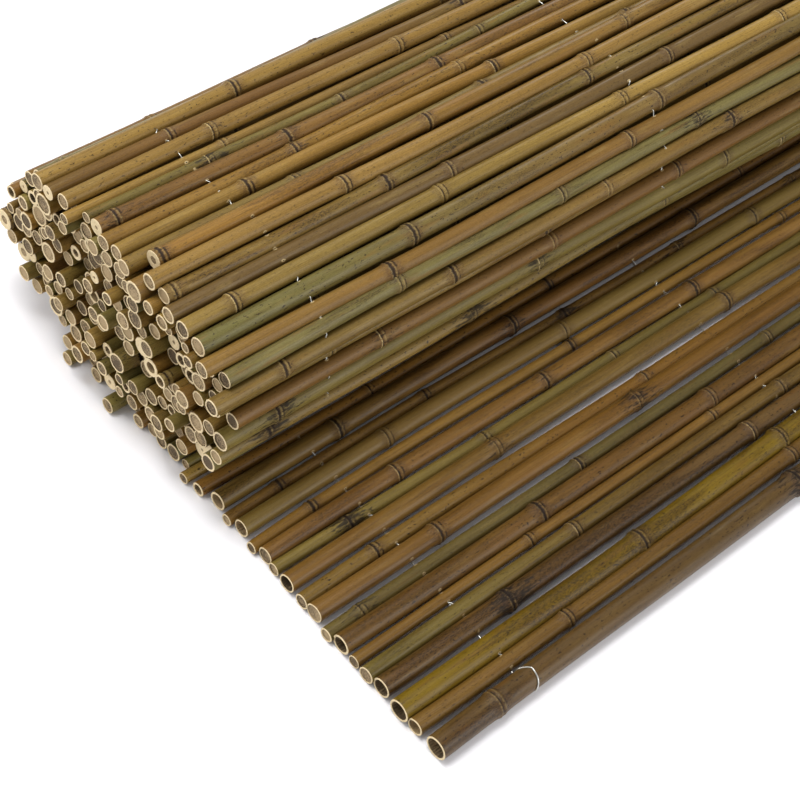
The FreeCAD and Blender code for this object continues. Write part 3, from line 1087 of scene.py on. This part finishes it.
@dataclass
class Screening:
    """The whole roll: every bundle of canes and every row of wire."""

    # how far each skin is darkened, to match the photo: on the roll this trims the skin's tone, while the
    # laid-out canes' much stronger darkening is painted shade for the dimmer light they get in front of the
    # roll
    ROLLED_SHADE = (0.84, 0.775, 0.68)
    LAID_OUT_PAINTED_SHADE = (0.515, 0.44, 0.36)

    rows: WireRows
    maker: LookMaker
    finishes: tuple[Material, ...]
    # the darker copy of the skin for the laid-out canes, which paints shade on them
    laid_out_painted_shade_skin: Material
    wire: Material
    hole_height: float = 4.7 * MM
    loop_slant: float = 5.5 * MM
    end_bow: float = 6.5 * MM
    laid_out_fullness: float = 1.04
    evened: float = 0.75
    # how much the laid-out canes are lightened toward the roll: painted light that offsets the roll's shadow
    inward_painted_light: float = 0.75
    roll_wobble: float = 1.5 * MM
    laid_out_wobble: float = 1.1 * MM
    roll_turn: float = 0.5
    laid_out_turn: float = 0.45
    roll_flatness: float = 0.35
    roll_bits: float = 0.65
    laid_out_bits: float = 0.6
    bit_slant: float = 0.9 * MM
    shortest_bit: float = 1.0 * MM
    longest_bit: float = 4.6 * MM
    loop_clear: float = 0.6 * MM

    # the canes laid out in front as the photo shows them, outermost first
    LAID_OUT = (
        Habit(CaneTone.GREY_BROWN, CaneTone.TAN, 43, 249, 0.15, 0.5, (0, 34), hollow=True),
        Habit(CaneTone.STRAW, CaneTone.OCHRE, 112, 194, 0.15, 0.4, hollow=True),
        Habit(CaneTone.YELLOW_GREEN, CaneTone.YELLOW_GREEN, 184, None, 0.6, 1.0, (95, 190), hollow=True),
        Habit(CaneTone.TAN, CaneTone.GREY_BROWN, 92, 205, 1.0, 1.0, (95, 210), hollow=True),
        Habit(CaneTone.OLIVE, CaneTone.TAN, 158, 183),
        Habit(CaneTone.STRAW, CaneTone.OCHRE, 132, 156, 0.2),
        Habit(CaneTone.TAN, CaneTone.BROWN, 148, 147, 0.35, 0.8, hollow=True),
        Habit(CaneTone.MOSS, CaneTone.OLIVE, 24, 170, 0.7),
        Habit(CaneTone.OCHRE, CaneTone.TAN, 89, None, 0.2),
        Habit(CaneTone.OLIVE, CaneTone.OCHRE, 53, 219, 0.2),
        Habit(CaneTone.TAN, CaneTone.OLIVE, 157, stain=0.7, hollow=True),
        Habit(CaneTone.MOSS, CaneTone.OLIVE, 53, None, 1.0),
        Habit(CaneTone.BROWN, CaneTone.TAN, stain=0.8),
        Habit(CaneTone.OCHRE, CaneTone.STRAW),
        Habit(CaneTone.OLIVE, CaneTone.BROWN, hollow=True),
        Habit(CaneTone.TAN, CaneTone.STRAW, stain=0.8),
        Habit(CaneTone.BROWN, CaneTone.OLIVE, stain=1.0, hollow=True),
        Habit(CaneTone.OCHRE, CaneTone.BROWN),
    )

    def holes(self, canes: list[CaneSpec], raise_by: float, above: Pair | None) -> list[tuple[float, ...]]:
        """Angles at which the wire leaves each cane toward its neighbours.

        Args:
            canes: Neighbouring canes in their order on the wire.
            raise_by: How far the holes are turned outward, so that they show between the canes.
            above: Middle of the roll, or None where outward is straight up.

        Returns:
            The angle toward the cane before and the one toward the cane after.
        """
        turned = []
        for i, cane in enumerate(canes):
            up = math.pi / 2
            if above:
                up = math.atan2(cane.z - above[1], (cane.y - above[0]) * self.roll_flatness)
            own = []
            for k in (i - 1, i + 1):
                if not 0 <= k < len(canes):
                    continue
                a = math.atan2(canes[k].z - cane.z, canes[k].y - cane.y)
                gap = (up - a + math.pi) % (2 * math.pi) - math.pi
                own.append(a + math.copysign(min(abs(gap), raise_by), gap))
            turned.append(tuple(own))
        return turned

    def bits(self, shapes: list[StemShape], x: float, share: float) -> list[list[Vector]]:
        """Short stretches of wire that show in the grooves between neighbouring canes.

        Args:
            shapes: The canes in their order on the wire.
            x: The row's place.
            share: How many of the grooves show the wire.

        Returns:
            Their middle lines.
        """
        rng, paths = self.maker.series, []
        for a, b in zip(shapes, shapes[1:]):
            slant = rng.uniform(-1, 1) * self.bit_slant
            if rng.random() > share:
                continue
            path = []
            for shape, angle, steps in ((a, a.exits[-1], (0.85, 1.05)), (b, b.exits[0], (1.05, 0.85))):
                dy, dz = shape.wander(x)
                for step in steps:
                    reach = shape.spec.radius(x) * step
                    path.append(Vector((x + (slant if shape is a else -slant),
                                        shape.spec.y + dy + reach * math.cos(angle),
                                        shape.spec.z + dz + reach * math.sin(angle))))
            if self.shortest_bit < (path[2] - path[1]).length < self.longest_bit:
                paths.append(path)
        return paths

    def end_run(self, end: StemShape, inner_y: float, x: float) -> list[Vector]:
        """The wire through the laid-out canes, which loops back over the end cane.

        Args:
            end: The end cane.
            inner_y: Where the run starts, under the roll.
            x: The row's place.

        Returns:
            Its middle line.
        """
        spec, (dy, dz) = end.spec, end.wander(x)
        y, z, away = spec.y + dy, spec.z + dz, spec.near_radius + self.loop_clear
        outer = x + 0.5 * self.loop_slant
        path = [Vector((x, inner_y, self.hole_height)), Vector((x, y + away, self.hole_height)),
                Vector((outer, y - away + 0.5 * MM, self.hole_height))]
        for degrees in range(180, 10, -15):
            a = math.radians(degrees)
            aside = float(np.interp(degrees, (15, 75, 120, 180), (0, 1, 0.85, 0.5))) * self.loop_slant
            path.append(Vector((x + aside, y + away * math.cos(a), z + away * math.sin(a))))
        return path

    def leans(self, canes: list[CaneSpec]) -> list[float]:
        """How far each laid-out cane leans aside past its end, where the wire evens out the gaps.

        Args:
            canes: The laid-out canes, outermost first.

        Returns:
            One distance for each cane.
        """
        gaps = [b.y - a.y - a.near_radius - b.near_radius for a, b in zip(canes, canes[1:])]
        usual, leans = sum(gaps) / len(gaps), [0.0]
        for gap in gaps:
            leans.append(leans[-1] + self.evened * (usual - gap))
        return leans

    def bundle(self, name: str, nodes: tuple[str, ...], canes: list[CaneSpec], looks: list[CaneLook],
               exits: list[tuple[float, ...]], detail: Detail, slot: str = "bamboo",
               bends: list[Pair] | None = None) -> list[StemShape]:
        """Builds and dresses one run of canes.

        Args:
            name: The piece's name.
            nodes: The CAD nodes it stands for.
            canes: Its canes.
            looks: Their looks.
            exits: Their holes' angles, or empty ones.
            detail: How finely they are meshed.
            slot: Name of a material slot; not used, as the bundle keeps it but nothing reads it.
            bends: How far each laid-out stem bows aside in the middle and leans aside past its end.

        Returns:
            The shapes of its stems.
        """
        sides, step = detail.value
        shapes = [StemShape(spec, look, out, self.rows.places() if out else (), step)
                  for spec, look, out in zip(canes, looks, exits)]
        for shape, (bow, lean) in zip(shapes, bends or []):
            shape.bow, shape.lean, shape.fullness = bow, lean, self.laid_out_fullness
        piece = CaneBundle(name, nodes, shapes, sides, slot)
        # laid-out canes, which come with bends, take the skin copy with painted shade
        piece.dress(piece.build(), (self.laid_out_painted_shade_skin, *self.finishes[1:]) if bends else self.finishes)
        return shapes

    def plain(self, node: str, detail: Detail, lying: bool = False) -> None:
        """Builds the canes of one node that show little but their ends.

        Args:
            node: The CAD node.
            detail: How finely they are meshed.
            lying: True where they rest on the floor.
        """
        canes = read_canes(node)
        looks = [self.maker.look(c, lying=lying) for c in canes]
        self.bundle("canes_" + node, (node,), canes, looks, [()] * len(canes), detail)

    def build_roll(self) -> list[StemShape]:
        """Builds the canes of the roll and those on the floor under it.

        Returns:
            The shapes of the roll's outer canes, in their order on the wire.
        """
        for node in ("core_fold", "turn_1", "turn_2", "turn_3", "turn_4"):
            self.plain(node, Detail.HIDDEN)
        outer = read_canes("turn_5") + read_canes("turn_6")
        middle = tuple(sum(getattr(c, k) for c in outer) / len(outer) for k in "yz")
        exits = self.holes(outer, self.roll_turn, middle)
        third = (len(outer) + 2) // 3
        rolled = []
        for k, side in enumerate(("back", "top", "front")):
            part = slice(k * third, (k + 1) * third)
            nodes = ("turn_5",) if k < 2 else ("turn_5", "turn_6")
            looks = [self.maker.rolled(c, self.roll_wobble) for c in outer[part]]
            rolled += self.bundle("canes_outer_" + side, nodes, outer[part], looks, exits[part],
                                  Detail.OUTSIDE)
        self.plain("floor_run", Detail.ON_FLOOR, True)
        return rolled

    def build_laid_out(self) -> list[StemShape]:
        """Builds the laid-out canes and the end cane.

        Returns:
            Their shapes, the end cane first.
        """
        laid = read_canes("end_cane") + sorted(read_canes("apron_canes"), key=lambda c: c.y)
        exits = self.holes(laid, self.laid_out_turn, None)
        looks = [self.maker.look(c, habit, self.laid_out_wobble, True)
                 for c, habit in zip(laid, self.LAID_OUT)]
        # lighten the laid-out canes step by step toward the roll: painted light against the roll's shadow on
        # them
        for i, own in enumerate(looks):
            lift = 1 + self.inward_painted_light * (i / len(looks)) ** 1.5
            own.tone, own.drift = (tuple(c * lift for c in tone) for tone in (own.tone, own.drift))
        bends = [(self.end_bow * (1 - i / len(laid)), lean) for i, lean in enumerate(self.leans(laid))]
        spread = self.bundle("end_cane_stem", ("end_cane",), laid[:1], looks[:1], exits[:1], Detail.END,
                             "bamboo_end", bends[:1])
        for k, side in enumerate(("near", "middle", "far")):
            part = slice(1 + k * 6, min(7 + k * 6, len(laid)))
            spread += self.bundle("canes_laid_out_" + side, ("apron_canes",), laid[part], looks[part],
                                  exits[part], Detail.LAID_OUT, bends=bends[part])
        return spread

    def build(self) -> None:
        """Builds every piece of the roll and the studio around it."""
        rolled = self.build_roll()
        spread = self.build_laid_out()
        for i, x in enumerate(self.rows.places()):
            paths = [self.end_run(spread[0], spread[-1].spec.y, x)]
            paths += self.bits(rolled, x, self.roll_bits) + self.bits(spread, x, self.laid_out_bits)
            run = WireRun("wire_%d" % (i + 1), "wire_row_%d" % (i + 1), paths)
            run.dress(run.build(), self.wire)
        studio = Studio(spread[0].spec.near_x, spread[0].spec.y)
        studio.floor()
        studio.lights()
        studio.camera()


def main() -> None:
    """Builds the roll and reports its pieces."""
    logging.basicConfig(level=logging.INFO, format="%(message)s")
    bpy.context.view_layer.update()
    middles = [(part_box("wire_row_%d" % i)[0][0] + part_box("wire_row_%d" % i)[1][0]) / 2 for i in (1, ROWS)]
    rows = WireRows(middles[0], (middles[1] - middles[0]) / (ROWS - 1), ROWS)
    rolled_skin = CaneSkin("cane_skin", rows.pitch, rows.first, Screening.ROLLED_SHADE).make()
    # a second, much darker copy of the skin paints shade on the laid-out canes
    laid_out_painted_shade_skin = CaneSkin("laid_out_painted_shade_skin", rows.pitch, rows.first, Screening.LAID_OUT_PAINTED_SHADE).make()
    finishes = (rolled_skin, SawnWall().make(), SunkenPith().make())
    Screening(rows, LookMaker(random.Random(SEED)), finishes, laid_out_painted_shade_skin, Galvanised().make()).build()


if __name__ == "__main__":
    main()
